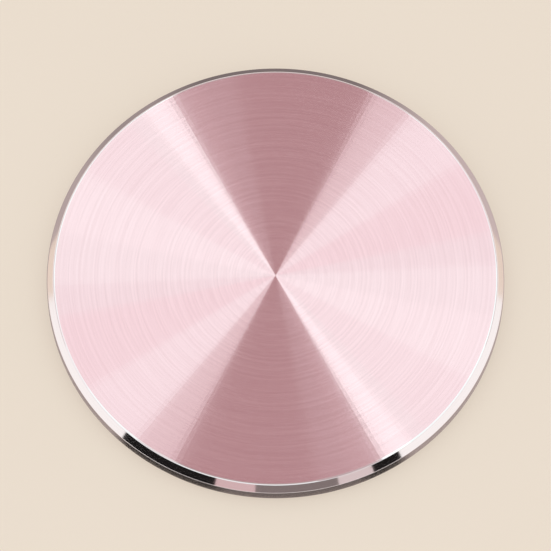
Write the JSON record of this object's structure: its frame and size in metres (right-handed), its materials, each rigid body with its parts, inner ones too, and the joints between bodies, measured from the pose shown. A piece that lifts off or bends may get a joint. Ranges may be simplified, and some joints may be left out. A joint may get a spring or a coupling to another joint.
{
  "type": "magnetic phone mount plate",
  "caption": "Thin round steel plate with a spin-turned face, a bright-cut chamfered rim and an adhesive pad beneath, stuck on so that a magnetic holder can grip it.",
  "frame": {"origin": "centre of the adhesive pad's sticky underside, on the surface that the plate is stuck to", "axes": "+Z out of the turned face, along the axis of the disc; X and Y are any two directions in its plane"},
  "size_m": [0.032, 0.032, 0.0018],
  "materials": {
    "turned_steel": "rose tinted, spin turned in fine circles, with a mirror-bright chamfer",
    "adhesive": "soft matt acrylic foam tape, tacky on both faces"
  },
  "bodies": {
    "root": {"steel_disc": "turned_steel", "adhesive_pad": "adhesive"}
  },
  "joints": []
}
